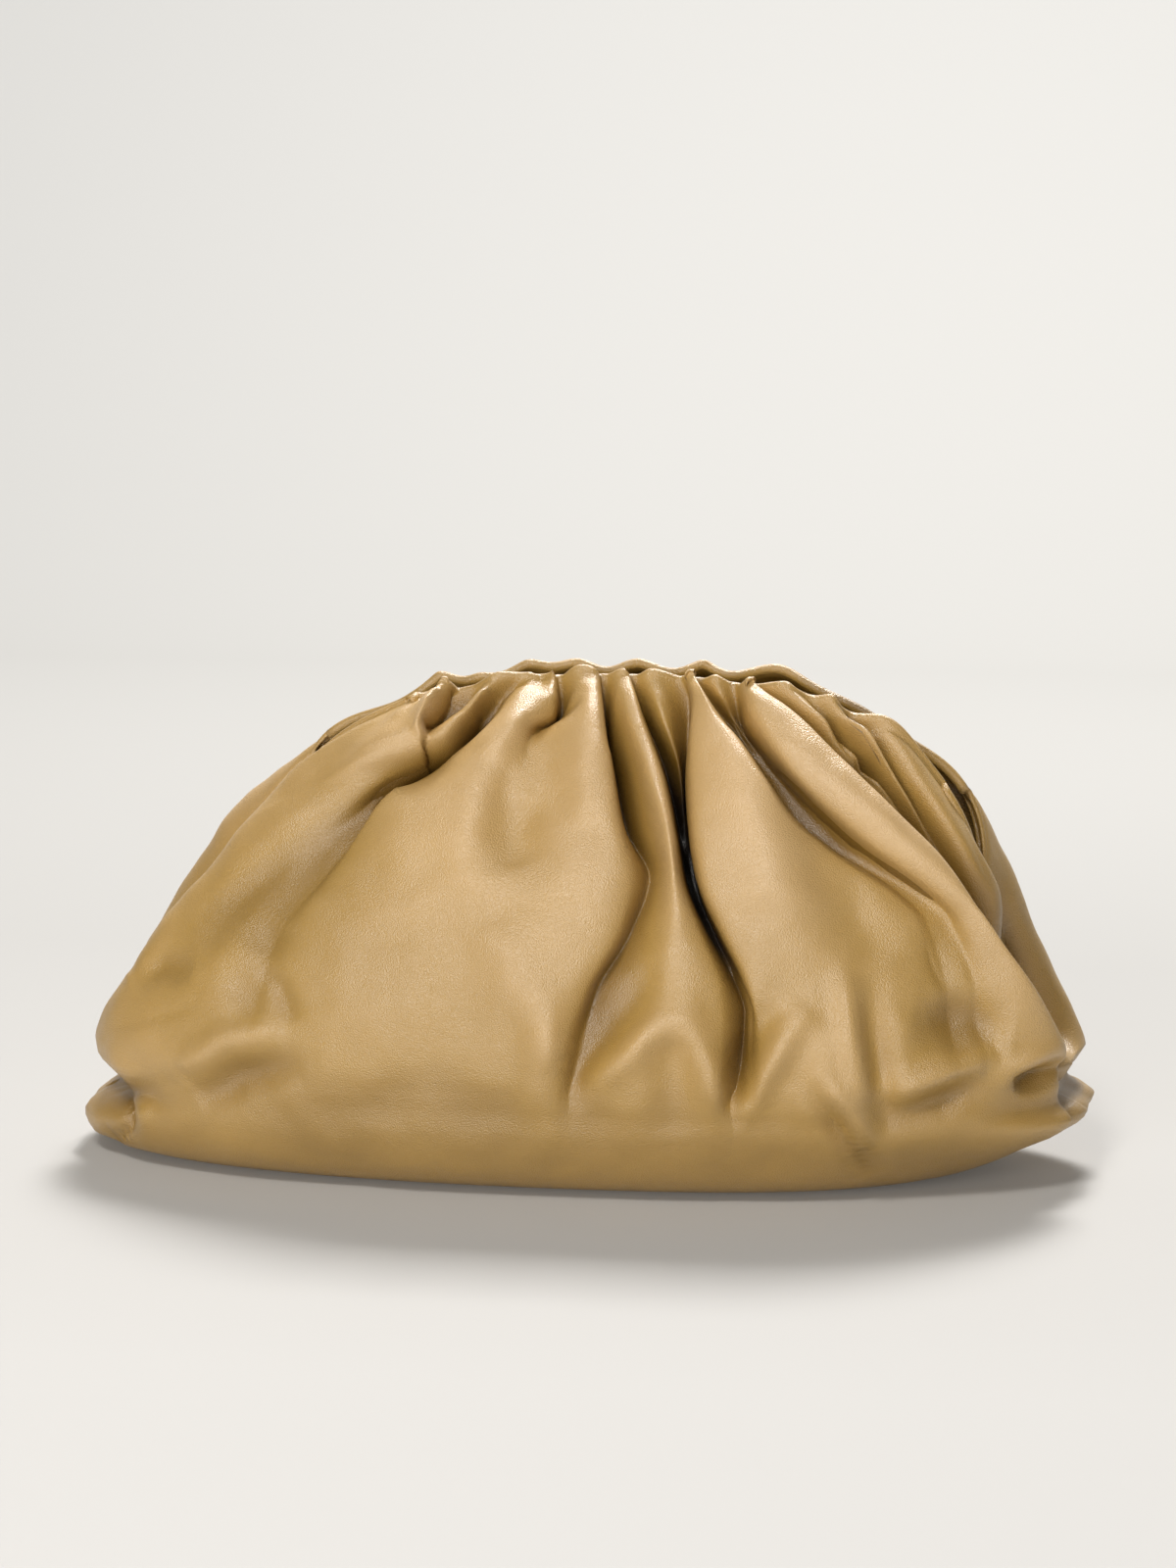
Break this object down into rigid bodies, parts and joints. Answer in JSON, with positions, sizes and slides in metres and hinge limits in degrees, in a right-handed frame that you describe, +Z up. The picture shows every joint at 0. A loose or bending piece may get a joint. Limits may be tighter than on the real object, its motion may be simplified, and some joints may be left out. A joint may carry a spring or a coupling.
{
  "type": "cloud pouch bag",
  "caption": "Soft gathered leather pouch bag with a wide rounded body, deep folds running down from an arched closing frame, and tucked bottom corners.",
  "frame": {"origin": "on the floor under the middle of the bag's bounding box", "axes": "+X along the bag's width, to the right as seen from the front; -Y is the front; +Z up towards the mouth"},
  "size_m": [0.406, 0.1764, 0.201],
  "materials": {
    "hide": "satin, fine pebble grain",
    "facing": "matte, smooth",
    "frame_metal": "satin"
  },
  "bodies": {
    "root": {"pouch_body": "hide", "front_facing": "facing", "back_facing": "facing", "closing_frame": "frame_metal"}
  },
  "joints": []
}
